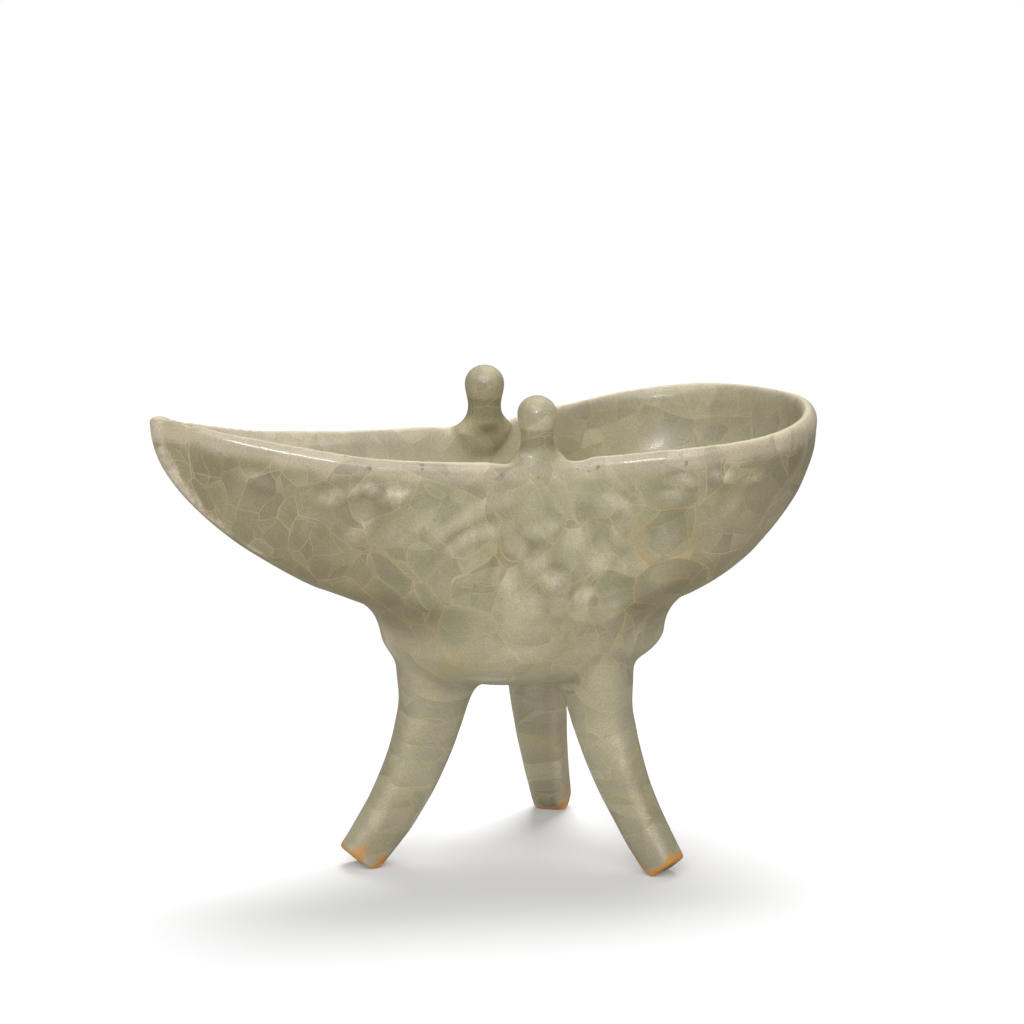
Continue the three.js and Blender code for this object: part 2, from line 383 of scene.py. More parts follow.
skinFinish = {
    "voxel": 0.47,
    "pull": 0.5,            # of one pass of smoothing
    "leastWeight": 0.01,
    "smoothing": 4,         # passes all over
    "jointSmoothing": 200,  # more passes at the leg heads and the post roots
    "footSmoothing": 16,
    "lastSmoothing": 2,
    "foot": (3, 8),
    "hugFade": 3,           # the skin leaves the clay where a joint's weight passes one over this
    # joints: reach from the axis, the heights where they come in and go out, and their weight
    "legJoint": {"reach": (10, 17), "from": (29, 36), "to": (42, 49), "weight": 1},
    "postJoint": {"reach": (7, 12), "from": (77, 82), "to": (91, 93.5), "weight": 0.45},
}


def asObject(name, bms):
    joined = bmesh.new()
    for bm in bms:
        part = bpy.data.meshes.new(name)
        bm.to_mesh(part)
        bm.free()
        joined.from_mesh(part)
        bpy.data.meshes.remove(part)
    mesh = bpy.data.meshes.new(name)
    joined.to_mesh(mesh)
    joined.free()
    return inScene(name, mesh)


def applied(obj):
    graph = bpy.context.evaluated_depsgraph_get()
    mesh = bpy.data.meshes.new_from_object(obj.evaluated_get(graph))
    obj.modifiers.clear()
    obj.data = mesh


def places(mesh):
    co = np.empty(len(mesh.vertices) * 3)
    mesh.vertices.foreach_get("co", co)
    return co.reshape(-1, 3)


def directions(mesh):
    normals = np.empty(len(mesh.vertices) * 3, np.float32)
    mesh.vertex_normals.foreach_get("vector", normals)
    return normals.reshape(-1, 3).astype(float)


def weighed(obj, modifier, weights):
    group = obj.vertex_groups.new(name="weighed")
    for index in np.flatnonzero(weights > skinFinish["leastWeight"]):
        group.add([int(index)], float(weights[index]), "REPLACE")
    modifier.vertex_group = group.name


def smoothSkin(obj, passes, weights=None):
    modifier = obj.modifiers.new("smooth", "SMOOTH")
    modifier.factor = skinFinish["pull"]
    modifier.iterations = passes
    if weights is not None:
        weighed(obj, modifier, weights)
    applied(obj)
    obj.vertex_groups.clear()


# The skin goes back onto the clay, but not where two parts are luted together
def hugClay(obj, clay, weights):
    modifier = obj.modifiers.new("hug", "SHRINKWRAP")
    modifier.target = clay
    modifier.wrap_method = "NEAREST_SURFACEPOINT"
    weighed(obj, modifier, weights)
    applied(obj)
    obj.vertex_groups.clear()


# Clay beyond a plane is sliced off, and the slice is closed
def trimmed(bm, point, beyond):
    cut = bmesh.ops.bisect_plane(bm, geom=bm.verts[:] + bm.edges[:] + bm.faces[:], plane_co=point,
                                 plane_no=beyond, clear_outer=True)["geom_cut"]
    bmesh.ops.holes_fill(bm, edges=[e for e in cut if isinstance(e, bmesh.types.BMEdge)])


def clayParts():
    parts = [throughRings(bodyRings())]
    for name in legNames:
        leg = throughRings(legRings(legClay[name]))
        trimmed(leg, (0, 0, 0), (0, 0, -1))
        head, out = legPlace(legClay[name], bodyClay["base"] + bodyClay["floor"] - legClay["headCover"])[:2]
        trimmed(leg, head, Vector((0, 0, 1)) - out * legClay["headSlope"])
        parts.append(leg)
    for axis in postAxes.values():
        parts += [throughRings(saddleRings(axis)), postTurned(axis)]
    return parts


def jointWeights(co):
    legHeads = [legPlace(legClay[name], bodyClay["base"])[0] for name in legNames]
    weights = np.zeros(len(co))
    for joint, axes in (("legJoint", legHeads), ("postJoint", postAxes.values())):
        j = skinFinish[joint]
        height = ramp(co[:, 2], *j["from"]) * (1 - ramp(co[:, 2], *j["to"]))
        for axis in axes:
            apart = np.hypot(co[:, 0] - axis.x, co[:, 1] - axis.y)
            weights = np.maximum(weights, (1 - ramp(apart, *j["reach"])) * height * j["weight"])
    return weights


clay = asObject("clay", clayParts())
skin = inScene("cupSkin", clay.data.copy())
remesh = skin.modifiers.new("remesh", "REMESH")
remesh.mode = "VOXEL"
remesh.voxel_size = skinFinish["voxel"]
applied(skin)
smoothSkin(skin, skinFinish["smoothing"])
hugClay(skin, clay, 1 - np.clip(skinFinish["hugFade"] * jointWeights(places(skin.data)), 0, 1))
smoothSkin(skin, skinFinish["jointSmoothing"], jointWeights(places(skin.data)))
smoothSkin(skin, skinFinish["footSmoothing"], 1 - ramp(places(skin.data)[:, 2], *skinFinish["foot"]))
smoothSkin(skin, skinFinish["lastSmoothing"])
bpy.data.objects.remove(clay)
print("skin:", len(skin.data.vertices), "points")


# Moulded relief, worn soft: a blossom over the belly, with leaves to both sides.
# Places are along the cup's length and up from the table.

relief = {
    "height": 0.5,
    # along, up, half length, half width, turn in degrees, strength
    "blossom": [
        (2.7, 66.8, 2.6, 2.4, 0, 0.9), (6, 62.9, 3.6, 2.4, -25, 1.0), (3.7, 73.7, 3.6, 2.1, 10, 0.9),
        (-1.7, 70.4, 3.0, 2.1, -40, 0.8), (11.4, 71.6, 3.2, 2.3, 35, 0.6), (-4.2, 64, 3.6, 2.6, 80, 0.65),
        (0.8, 58.4, 3.4, 2.7, 0, 0.8), (7.2, 57.8, 2.4, 2.0, 0, 0.5), (13, 58.8, 2.5, 2.2, 0, 0.85),
        (18.1, 55.7, 3.6, 2.4, 30, 0.6), (15.6, 66.8, 3.6, 2.4, 80, 0.55), (22.3, 65.2, 3.2, 2.3, 40, 0.5),
        (-10.5, 66, 3.4, 2.6, 60, 0.4), (-8.5, 58.5, 3.4, 2.6, -50, 0.4),
    ],
    "leaves": [
        (-25.4, 82, 3.4, 1.9, 15, 0.9), (-30.3, 83.2, 2.5, 1.6, -20, 0.7), (-34.1, 83.1, 2.5, 1.5, 20, 0.6),
        (-37.5, 81.6, 3.2, 1.7, 25, 0.75), (-32.7, 75.8, 4.4, 2.4, 70, 0.75), (-41.6, 75.5, 3.4, 2, 80, 0.45),
        (-19, 76.5, 3.4, 2.3, 35, 0.45), (-25, 73, 3.6, 2.2, -40, 0.4), (-51, 84.8, 4.2, 1.5, -20, 0.5),
        (32.1, 83.1, 3.2, 1.7, 10, 0.9), (39, 84.2, 2.8, 1.7, -10, 0.8), (29.6, 79.5, 3.2, 1.7, 20, 0.7),
        (19.6, 77.5, 3.8, 1.9, -40, 0.8), (20.9, 73.3, 3.8, 2.3, 65, 0.6), (29, 72.2, 3.6, 2.4, 85, 0.5),
        (35.3, 75.4, 2.8, 2.4, 0, 0.45), (46.7, 83, 2.8, 1.4, 20, 0.55), (42, 77.5, 3.2, 1.8, 50, 0.4),
    ],
    # three points each, half width, strength
    "ridges": [
        (((-18, 73.2), (-10, 79.4), (-3.5, 80.2)), 1.7, 0.65),
        (((-15, 70), (-10.5, 75), (-3.5, 73.4)), 1.3, 0.55),
        (((-7, 50.4), (0.5, 45.6), (7, 51)), 1.7, 0.5),
        (((12, 80.4), (18, 79), (24, 71)), 1.5, 0.35),
    ],
    "lumpPower": 1.5,
    "strokeSteps": 40,
    "facing": (0.25, 0.6),  # it lies on faces that look out sideways,
    "from": (42, 48),       # above these heights,
    "underRim": (5.5, 3),   # and ends this far under the rim
    "wornSize": 6.5,        # uneven ground between the lumps
    "wornSeed": 3,
    "wornHeight": 0.3,
    "soft": 0.35,           # how much of the lumps the wear takes away in places
    "softSpan": (-0.1, 0.35),
}


def lump(x, z, at, half, turn):
    a = math.radians(turn)
    u = ((x - at[0]) * math.cos(a) + (z - at[1]) * math.sin(a)) / half[0]
    v = ((z - at[1]) * math.cos(a) - (x - at[0]) * math.sin(a)) / half[1]
    return np.exp(-(u * u + v * v) ** relief["lumpPower"])


def stroke(x, z, points, width):
    first, middle, last = (np.array(p) for p in points)
    nearest = np.full(len(x), np.inf)
    for share in np.linspace(0, 1, relief["strokeSteps"]):
        p = (1 - share) ** 2 * first + 2 * share * (1 - share) * middle + share ** 2 * last
        nearest = np.minimum(nearest, np.hypot(x - p[0], z - p[1]))
    return np.exp(-(nearest / width) ** 2)


def reliefHeight(x, z):
    height = np.zeros(len(x))
    for along, up, length, width, turn, strength in relief["blossom"] + relief["leaves"]:
        height = np.maximum(height, strength * lump(x, z, (along, up), (length, width), turn))
    for points, width, strength in relief["ridges"]:
        height = np.maximum(height, strength * stroke(x, z, points, width))
    return height


def rimAbove(x):
    c = np.clip((x - postLine) / np.where(x < postLine, bodyClay["tail"], bodyClay["spout"]), -1, 1)
    tail = bodyClay["tailRise"] * np.maximum(-c, 0) ** bodyClay["tailRisePower"]
    spout = bodyClay["spoutRise"] * np.maximum(c, 0) ** bodyClay["spoutRisePower"]
    return bodyClay["rim"] + tail + spout


def waver(co, size, seed):
    return np.array([noise.noise(Vector(p) / size + Vector((seed, 0, 0))) for p in co])


# Unevenness of hand work: size and height of each wave, and the heights over which it comes in
handmade = {"seed": 11, "waves": ((24, 0.45), (7, 0.1)), "from": (2, 8)}


def shapeRelief(mesh):
    r = relief
    co, normal = places(mesh), directions(mesh)
    x, y, z = co.T
    outward = normal[:, 1] * np.sign(y)
    rim = rimAbove(x)
    full, gone = r["underRim"]
    field = ramp(outward, *r["facing"]) * ramp(z, *r["from"]) * (1 - ramp(z, rim - full, rim - gone))
    worn = waver(co, r["wornSize"], r["wornSeed"])
    lumps = reliefHeight(x, z) * field * (1 - r["soft"] * ramp(worn, *r["softSpan"]))
    raised = lumps * r["height"] + worn * field * r["wornHeight"]
    uneven = sum(height * waver(co, size, handmade["seed"]) for size, height in handmade["waves"])
    uneven = uneven * ramp(z, *handmade["from"])
    co = co + normal * (raised + uneven)[:, None]
    co = np.clip(co, np.array(cadLow) / millimetre + boxMargin, np.array(cadHigh) / millimetre - boxMargin)
    mesh.vertices.foreach_set("co", co.ravel())
    mesh.update()
    return lumps, outward


# How the glaze lies: thin on edges and relief, pooled in corners, wiped off the feet; and painted light and
# shade: a paler hollow and low parts, darker undersides and wings

def bend(mesh, passes, spread):
    ends = np.empty(len(mesh.edges) * 2, np.int32)
    mesh.edges.foreach_get("vertices", ends)
    a, b = ends.reshape(-1, 2).T
    count = len(mesh.vertices)
    links = np.bincount(a, minlength=count) + np.bincount(b, minlength=count)

    def around(values):
        return (np.bincount(a, values[b], count) + np.bincount(b, values[a], count)) / links

    co, normal = places(mesh), directions(mesh)
    away = np.stack([around(co[:, i]) for i in range(3)], 1) - co
    value = -(away * normal).sum(1) * 4 / skinFinish["voxel"] ** 2     # about 1 / radius on a rounded edge
    for i in range(passes):
        value = mix(value, around(value), spread)
    return value


glazeLie = {
    "bendPasses": 6,        # the bend of the skin is evened out
    "bendSpread": 0.7,
    "patch": (5, 31),       # size and seed of the unevenness of the glaze's edges
    "outFacing": (-0.2, 0.4),
    "upFacing": (0.3, 0.7),
    "band": (2.4, 5.2),     # pale band under the lip, full and gone, below the crest
    "bandFrom": (70, 80),
    "crest": 0.75,          # bright line along the crest
    "crestFacing": (0.8, 0.95),
    "edge": (0.13, 0.34),   # one over the radius of an edge, where the glaze begins to thin and is thinnest
    "edgeThin": 0.8,
    "lumpPower": 1.4,
    "corner": 0.35,
    "bareFoot": (4, 7),     # height up to which the edges of a foot are bare
    "bareEdge": (0.24, 0.5),
    "barePatch": 0.7,
    "post": (6.2, 8.5),     # a post's own glaze: reach from the axis, and height above the lip
    "postFrom": (-3, 0.5),
    "postEdge": 0.7,        # less thinning on its edges
    "knob": (5, 6),
    "knobLine": (6, 6.6),   # above the lip: the glaze is paler over it
    "knobThin": 0.32,
    "neckFrom": (1, 3),
    "neckPool": 0.5,
    # painted light in the hollow: faces that look in, above these heights
    "insideFacing": (-0.1, 0.3),
    "insideFrom": (42, 46),
    "insideLightFade": (-18, 26),        # the hollow's painted light fades towards the spout, which is greener
    "insideLightFaded": 0.6,
    "wing": (16, 44),       # painted shade on the wings: away from the post line, below the crest
    "wingBelow": (36, 44),
    "wingFacing": (0, 0.4),
    "wingShade": 0.7,
    "underShadeFacing": (0.1, 0.65),
    "underShadeFrom": (44, 52),
    # painted light: paler towards the bottom, between these heights, over the legs and the low belly
    "low": (34, 60),
    "stainCore": 0.3,
    # stained places: along, up, reach, strength
    "stains": [(30, 70, 15, 1.0), (20, 60, 9, 0.7), (44, 76, 10, 0.6), (-14, 50, 12, 0.75), (6, 50, 9, 0.7),
               (-4, 66, 14, 0.4), (-30, 68, 12, 0.5), (-24, 12, 12, 0.6), (26, 18, 12, 0.5)],
}


def storeGlaze(mesh, lumps, outward):
    g = glazeLie
    co, normal = places(mesh), directions(mesh)
    x, y, z = co.T
    up = normal[:, 2]
    curve = bend(mesh, g["bendPasses"], g["bendSpread"])
    below = rimAbove(x) - z
    overLip = z - bodyClay["rim"]
    patch = waver(co, *g["patch"])
    postApart = np.min([np.hypot(x - axis.x, y - axis.y) for axis in postAxes.values()], axis=0)
    onPost = (1 - ramp(postApart, *g["post"])) * ramp(overLip, *g["postFrom"])
    near = np.maximum(ramp(outward, *g["outFacing"]), ramp(up, *g["upFacing"]))
    full, gone = g["band"]
    band = near * (1 - ramp(below, full + patch, gone + patch)) * ramp(z, *g["bandFrom"]) * (1 - onPost)
    nearCrest = 1 - ramp(np.abs(below), g["crest"], 2 * g["crest"])
    crest = ramp(up, *g["crestFacing"]) * nearCrest * (1 - onPost)
    edge = ramp(curve, *g["edge"]) * g["edgeThin"] * (1 - g["postEdge"] * onPost)
    thin = edge + np.clip(lumps, 0, 1) ** g["lumpPower"]
    knobTop = ramp(overLip, *g["knobLine"]) * (1 - ramp(postApart, *g["knob"]))
    neck = onPost * (1 - knobTop) * ramp(overLip, *g["neckFrom"])
    bare = (1 - ramp(z, *g["bareFoot"])) * ramp(curve + g["barePatch"] * patch, *g["bareEdge"])
    # Painted light: the hollow is painted paler, less so towards the spout
    inside = (1 - ramp(outward, *g["insideFacing"])) * ramp(z, *g["insideFrom"])
    inside = inside * (1 - g["insideLightFaded"] * ramp(x, *g["insideLightFade"])) * (1 - onPost)
    stain = np.zeros(len(co))
    for along, height, reach, strength in g["stains"]:
        apart = np.hypot(x - along, z - height)
        stain = np.maximum(stain, strength * (1 - ramp(apart, g["stainCore"] * reach, reach)))
    # Painted shade: darker wings, and darker overhangs that face down
    wing = ramp(np.abs(x - postLine), *g["wing"]) * (1 - ramp(below, *g["wingBelow"]))
    wing = wing * ramp(outward, *g["wingFacing"])
    overhangShade = ramp(-up, *g["underShadeFacing"]) * ramp(z, *g["underShadeFrom"])
    layers = {
        "thin": np.maximum(thin, g["knobThin"] * knobTop),
        "lipBand": band,
        "crest": crest,
        "bare": bare,
        "pool": np.maximum(-curve / g["corner"], g["neckPool"] * neck),
        "stain": stain,
        "underShade": np.maximum(overhangShade, g["wingShade"] * wing),
        "inside": inside,
        # painted light: paler towards the bottom
        "low": 1 - ramp(z, *g["low"]),
    }
    for name, values in layers.items():
        layer = mesh.attributes.new(name, "FLOAT", "POINT")
        layer.data.foreach_set("value", np.clip(values, 0, 1).astype(np.float32))
    layer = mesh.attributes.new("skinNormal", "FLOAT_VECTOR", "POINT")
    layer.data.foreach_set("vector", directions(mesh).astype(np.float32).ravel())


lumps, outward = shapeRelief(skin.data)
storeGlaze(skin.data, lumps, outward)
print("relief raised")


# Glaze

glaze = {
    "green": (0.310, 0.304, 0.182),
    "greenPale": (0.452, 0.421, 0.274),
    "warm": (0.480, 0.402, 0.262),
    # painted light: the paler glaze of the hollow
    "inside": (0.690, 0.648, 0.522),
    # painted light: the paler glaze low down, on the legs and the belly
    "low": (0.480, 0.445, 0.300),
    "thin": (0.660, 0.575, 0.435),
    "pool": (0.225, 0.194, 0.104),
    # painted shade: the darker brown of the undersides and wings
    "underShade": (0.240, 0.202, 0.112),
    "lip": (0.560, 0.484, 0.348),
    "crest": (0.640, 0.580, 0.415),
    "cream": (0.590, 0.515, 0.310),
    "ochre": (0.470, 0.290, 0.075),
    "clay": (0.720, 0.340, 0.085),
    "speck": (0.135, 0.085, 0.040),
    # how far each of these covers what is under it
    "cover": {"warm": 0.4, "low": 0.8, "inside": 0.85, "underShade": 0.75, "lip": 0.85,
              "stainHalo": 0.22, "speck": 0.5},
    "insidePool": 0.45,
    "thinFlakeShade": (0.85, 1.1, 0.6, 1),        # thin glaze shows more on the flakes painted lighter
    "crackShown": (0, 0.7, 0.7, 1),         # and cracks where they are stained
    "roughness": 0.3,
    "bareRoughness": 0.45,  # added on bare clay
    "coat": 0.45,
    "coatRoughness": 0.045,
    "insideCoat": (0.35, 0.1),      # reached at this much of the inside layer, and the coat there
    "wave": {"size": 3, "detail": 2, "shift": 0.6, "height": 0.5, "crackDepth": 0.3},
    "bump": {"Strength": 0.14, "Distance": 0.0004},
    "crackle": 11.5,        # millimetres between the first cracks, the second and the last
    "crackleWithin": 6.2,
    "crackleFine": 3.8,
    "crackWidths": (0.115, 0.09775, 0.069),
    "halos": (1.7, 1.19),   # reach of the stain beside a crack
    "secondCracks": (0.5, 0.95),    # how strong they are, least and most
    "lastCracks": 0.6,
    "stainedCracks": 0.9,
    "wander": ((27, 8.5), (9, 1.5)),    # size and reach of the cracks' bends
    "flakeTiltShade": 0.035,      # painted shading: each flake of glaze is a little lighter or darker, as if tilted to the light
    "flakeSideShade": 0.27,      # and painted lighter to one side
    "legCracks": (0.6, 0.6, 1.5),   # cracks run round the legs
    "legTop": 38,
}
glazePatches = {
    # size, detail and shift of the noise, and the span of it that goes from one value to another
    "cloud": (13, 3, 0, 0.34, 0.66, 0, 1),
    "warm": (17, 2, 0.45, 0.46, 0.64, 0, 1),
    "thin": (2.2, 2, 0.2, 0.3, 0.62, 0.35, 1),
    "grain": (0.23, 2, 0.4, 0.3, 0.7, 0.85, 1.14),
    "stain": (9, 2, 0.15, 0.35, 0.6, 0.25, 1),
    "speck": (2.4, 2, 0.9, 0.67, 0.74, 0, 1),
    "someCracks": (16, 1, 0.3, 0.4, 0.6, 0, 1),
    "fewCracks": (11, 1, 0.5, 0.52, 0.66, 0, 1),
    "faintCracks": (7, 1, 0.7, 0.3, 0.62, 0.2, 1),
}


class Nodes:
    def __init__(self, tree):
        self.tree = tree

    def add(self, kind, inputs=None, **settings):
        node = self.tree.nodes.new(kind)
        for name, value in settings.items():
            setattr(node, name, value)
        for name, value in (inputs or {}).items():
            socket = node.inputs[name]
            if isinstance(value, bpy.types.NodeSocket):
                self.tree.links.new(value, socket)
            else:
                socket.default_value = value
        return node

    def maths(self, operation, a, b=0.0):
        return self.add("ShaderNodeMath", {0: a, 1: b}, operation=operation).outputs[0]

    def span(self, value, low, high, start=0.0, end=1.0):
        inputs = {"Value": value, "From Min": low, "From Max": high, "To Min": start, "To Max": end}
        return self.add("ShaderNodeMapRange", inputs, interpolation_type="SMOOTHSTEP").outputs["Result"]

    def place(self):
        return self.add("ShaderNodeTexCoord").outputs["Object"]

    def part(self, vector, index):
        return self.add("ShaderNodeSeparateXYZ", {0: vector}).outputs[index]

    def length(self, vector):
        return self.add("ShaderNodeVectorMath", {0: vector}, operation="LENGTH").outputs["Value"]

    def vector(self, operation, a, b):
        return self.add("ShaderNodeVectorMath", {0: a, 1: b}, operation=operation).outputs[0]

    def blend(self, share, a, b, way="MIX"):
        inputs = {0: share}
        for index, value in ((6, a), (7, b)):
            inputs[index] = value if isinstance(value, bpy.types.NodeSocket) else (*value, 1)
        return self.add("ShaderNodeMix", inputs, data_type="RGBA", blend_type=way).outputs[2]

    def attribute(self, name):
        return self.add("ShaderNodeAttribute", attribute_name=name).outputs["Fac"]

    def noise(self, place, size, detail=2.0, shift=0.0):
        if shift:
            place = self.vector("ADD", place, (shift, shift, shift))
        inputs = {"Vector": place, "Scale": 1 / (size * millimetre), "Detail": detail}
        return self.add("ShaderNodeTexNoise", inputs)

    def patch(self, place, name):
        size, detail, shift, *span = glazePatches[name]
        return self.span(self.noise(place, size, detail, shift).outputs["Fac"], *span)

    def moved(self, place, by, far):
        shift = self.vector("SUBTRACT", by, (0.5, 0.5, 0.5))
        far = self.add("ShaderNodeVectorMath", {0: shift, "Scale": far}, operation="SCALE").outputs[0]
        return self.vector("ADD", place, far)

    def voronoi(self, place, size, feature="F1"):
        inputs = {"Vector": place, "Scale": 1 / (size * millimetre)}
        return self.add("ShaderNodeTexVoronoi", inputs, feature=feature).outputs

    def cracks(self, place, size, width):
        return self.span(self.voronoi(place, size, "DISTANCE_TO_EDGE")["Distance"], 0, width / size, 1, 0)

    # Painted shading: from a flake's middle towards its own lighter side
    def lean(self, place, size):
        flake = self.voronoi(place, size)
        away = self.vector("SUBTRACT", place, flake["Position"])
        side = self.vector("SUBTRACT", flake["Color"], (0.5, 0.5, 0.5))
        far = self.add("ShaderNodeVectorMath", {0: away, 1: side}, operation="DOT_PRODUCT").outputs["Value"]
        return self.maths("DIVIDE", far, size * millimetre)

    def times(self, *values):
        result = values[0]
        for value in values[1:]:
            result = self.maths("MULTIPLY", result, value)
        return result

    def grey(self, value):
        return self.add("ShaderNodeCombineXYZ", {0: value, 1: value, 2: value}).outputs[0]


def emptyMaterial(name):
    material = bpy.data.materials.new(name)
    material.use_nodes = True
    material.node_tree.nodes.clear()
    return material, Nodes(material.node_tree)


# Cracks in three rounds: each round runs only inside the flakes that the last one left.
def crackle(n, place):
    g = glaze
    onBody = n.maths("GREATER_THAN", n.part(place, 2), g["legTop"] * millimetre)
    warped = n.blend(onBody, n.vector("MULTIPLY", place, g["legCracks"]), place)
    for size, reach in g["wander"]:
        warped = n.moved(warped, n.noise(place, size, 1.0).outputs["Color"], 2 * reach * millimetre)
    within = n.moved(warped, n.voronoi(warped, g["crackle"])["Color"], 1.0)
    smallFlake = n.voronoi(within, g["crackleWithin"])["Color"]
    fineWithin = n.moved(within, smallFlake, 1.0)
    wide, narrow, fine = g["crackWidths"]
    first = n.cracks(warped, g["crackle"], wide)
    second = n.cracks(within, g["crackleWithin"], narrow)
    last = n.cracks(fineWithin, g["crackleFine"], fine)
    haloFirst = n.cracks(warped, g["crackle"], g["halos"][0])
    haloSecond = n.cracks(within, g["crackleWithin"], g["halos"][1])
    some, few, faint = (n.patch(place, k) for k in ("someCracks", "fewCracks", "faintCracks"))
    stain = n.attribute("stain")
    least, most = g["secondCracks"]
    crack = n.maths("MAXIMUM", first, n.times(second, n.maths("ADD", n.times(some, most - least), least)))
    few = n.maths("MAXIMUM", few, n.times(stain, some))
    crack = n.maths("MAXIMUM", crack, n.times(last, few, g["lastCracks"]))
    crack = n.times(crack, n.maths("MAXIMUM", faint, n.times(stain, g["stainedCracks"])))
    halo = n.maths("MAXIMUM", haloFirst, n.times(haloSecond, some))
    # Painted shading of the flakes: each a little lighter or darker, and lighter to one side
    flakeShade = n.span(n.part(smallFlake, 0), 0, 1, 1 - g["flakeTiltShade"], 1 + g["flakeTiltShade"])
    lean = n.maths("ADD", n.lean(warped, g["crackle"]), n.lean(within, g["crackleWithin"]))
    return crack, halo, n.maths("ADD", flakeShade, n.times(lean, g["flakeSideShade"]))


def glazeColour(n, place, crack, halo, flakeShade):
    g = glaze
    cover = g["cover"]
    thin, lip, crest, pool, underShade = (n.attribute(k) for k in ("thin", "lipBand", "crest", "pool", "underShade"))
    stain, bare, inside, low = (n.attribute(k) for k in ("stain", "bare", "inside", "low"))
    colour = n.blend(n.patch(place, "cloud"), g["green"], g["greenPale"])
    warm = n.times(n.maths("MAXIMUM", n.patch(place, "warm"), halo), cover["warm"])
    colour = n.blend(warm, colour, g["warm"])
    # Painted light and shade: paler low parts and hollow, darker undersides and wings
    for name, layer in (("low", low), ("inside", inside), ("underShade", underShade)):
        colour = n.blend(n.times(layer, cover[name]), colour, g[name])
    colour = n.blend(n.times(pool, n.span(inside, 0, 1, 1, g["insidePool"])), colour, g["pool"])
    thin = n.times(thin, n.patch(place, "thin"), n.span(flakeShade, *g["thinFlakeShade"]))
    colour = n.blend(thin, colour, g["thin"])
    colour = n.blend(n.times(lip, cover["lip"]), colour, g["lip"])
    # The grain and the flakes' painted shading darken or lighten the colour
    colour = n.blend(1.0, colour, n.grey(n.times(n.patch(place, "grain"), flakeShade)), "MULTIPLY")
    stain = n.times(stain, n.patch(place, "stain"))
    colour = n.blend(n.times(halo, stain, cover["stainHalo"]), colour, g["ochre"])
    shown = n.times(crack, n.span(stain, *g["crackShown"]))
    colour = n.blend(shown, colour, n.blend(stain, g["cream"], g["ochre"]))
    colour = n.blend(n.times(n.patch(place, "speck"), lip, cover["speck"]), colour, g["speck"])
    colour = n.blend(crest, colour, g["crest"])
    return n.blend(bare, colour, g["clay"]), bare, inside


def glazeMaterial():
    g = glaze
    material, n = emptyMaterial("celadonGlaze")
    place = n.place()
    crack, halo, flakeShade = crackle(n, place)
    colour, bare, inside = glazeColour(n, place, crack, halo, flakeShade)
    reached, insideCoat = g["insideCoat"]
    coat = n.span(inside, 0, reached, g["coat"], insideCoat)
    rough = n.maths("ADD", n.times(bare, g["bareRoughness"]), g["roughness"])
    w = g["wave"]
    wave = n.noise(place, w["size"], w["detail"], w["shift"]).outputs["Fac"]
    height = n.maths("SUBTRACT", n.times(wave, w["height"]), n.times(crack, w["crackDepth"]))
    bump = n.add("ShaderNodeBump", {"Height": height, **g["bump"]}).outputs[0]
    shader = n.add("ShaderNodeBsdfPrincipled", {"Base Color": colour, "Roughness": rough, "Normal": bump,
                                                "Coat Weight": coat, "Coat Roughness": g["coatRoughness"]})
    n.add("ShaderNodeOutputMaterial", {"Surface": shader.outputs[0]})
    return material


# The skin is cut where the pieces were luted, and each cut is closed

cuts = {
    "leg": 33.0,            # heights of the cuts above the table
    "collar": 37.4,
    "saddle": 88.7,
    "post": 91.5,
    "legZone": 6,           # cuts of the legs go this far above the underside
    "tailSide": 4,          # the tail leg is further than this behind the post line
    "postReach": 8.5,       # how far from a post's axis its cuts go
    "snap": 1e-5,
}


def cutAt(bm, point, direction, chosen):
    verts = [v for v in bm.verts if chosen(v.co)]
    inside = set(verts)
    edges = [e for e in bm.edges if all(v in inside for v in e.verts)]
    faces = [f for f in bm.faces if all(v in inside for v in f.verts)]
    bmesh.ops.bisect_plane(bm, geom=verts + edges + faces, plane_co=point, plane_no=direction,
                           dist=cuts["snap"])


def keepFaces(bm, labels, label):
    kept = bm.copy()
    gone = [f for f, other in zip(kept.faces, labels) if other != label]
    bmesh.ops.delete(kept, geom=gone, context="FACES")
    rims = [e for e in kept.edges if e.is_boundary]
    caps = bmesh.ops.holes_fill(kept, edges=rims)["faces"]
    for cap in caps:
        cap.smooth = False
    bmesh.ops.triangulate(kept, faces=caps, ngon_method="EAR_CLIP")
    return kept


def whichLeg(point):
    if point.x < postLine - cuts["tailSide"]:
        return "tail_leg"
    return "front_leg" if point.y < 0 else "back_leg"


def nearPost(name, point):
    axis = postAxes[name]
    return math.hypot(point.x - axis.x, point.y - axis.y) < cuts["postReach"]


def pieceOf(point):
    if point.z < cuts["collar"]:
        name = whichLeg(point)
        return name if point.z < cuts["leg"] else name + "_collar"
    if point.z > cuts["saddle"]:
        for name in postNames:
            if nearPost(name, point):
                return name if point.z > cuts["post"] else name + "_saddle"
    return "body"


def finishPiece(name, bm, material, nodes):
    bmesh.ops.scale(bm, vec=(millimetre,) * 3, verts=bm.verts)
    mesh = meshFrom(name, bm, material)
    corners = np.empty(len(mesh.loops), np.int32)
    mesh.loops.foreach_get("vertex_index", corners)
    skinNormal = np.empty(len(mesh.vertices) * 3, np.float32)
    mesh.attributes["skinNormal"].data.foreach_get("vector", skinNormal)
    skinNormal = skinNormal.reshape(-1, 3)[corners]
    smooth = np.empty(len(mesh.polygons), bool)
    mesh.polygons.foreach_get("use_smooth", smooth)
    counts = np.empty(len(mesh.polygons), np.int32)
    mesh.polygons.foreach_get("loop_total", counts)
    flat = np.empty(len(mesh.polygons) * 3, np.float32)
    mesh.polygons.foreach_get("normal", flat)
    onCap = np.repeat(~smooth, counts)
    skinNormal[onCap] = np.repeat(flat.reshape(-1, 3), counts, axis=0)[onCap]
    mesh.normals_split_custom_set(skinNormal.tolist())
    mesh.attributes.remove(mesh.attributes["skinNormal"])
    obj = inScene(name, mesh)
    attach(obj, "root")
    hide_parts(*nodes)


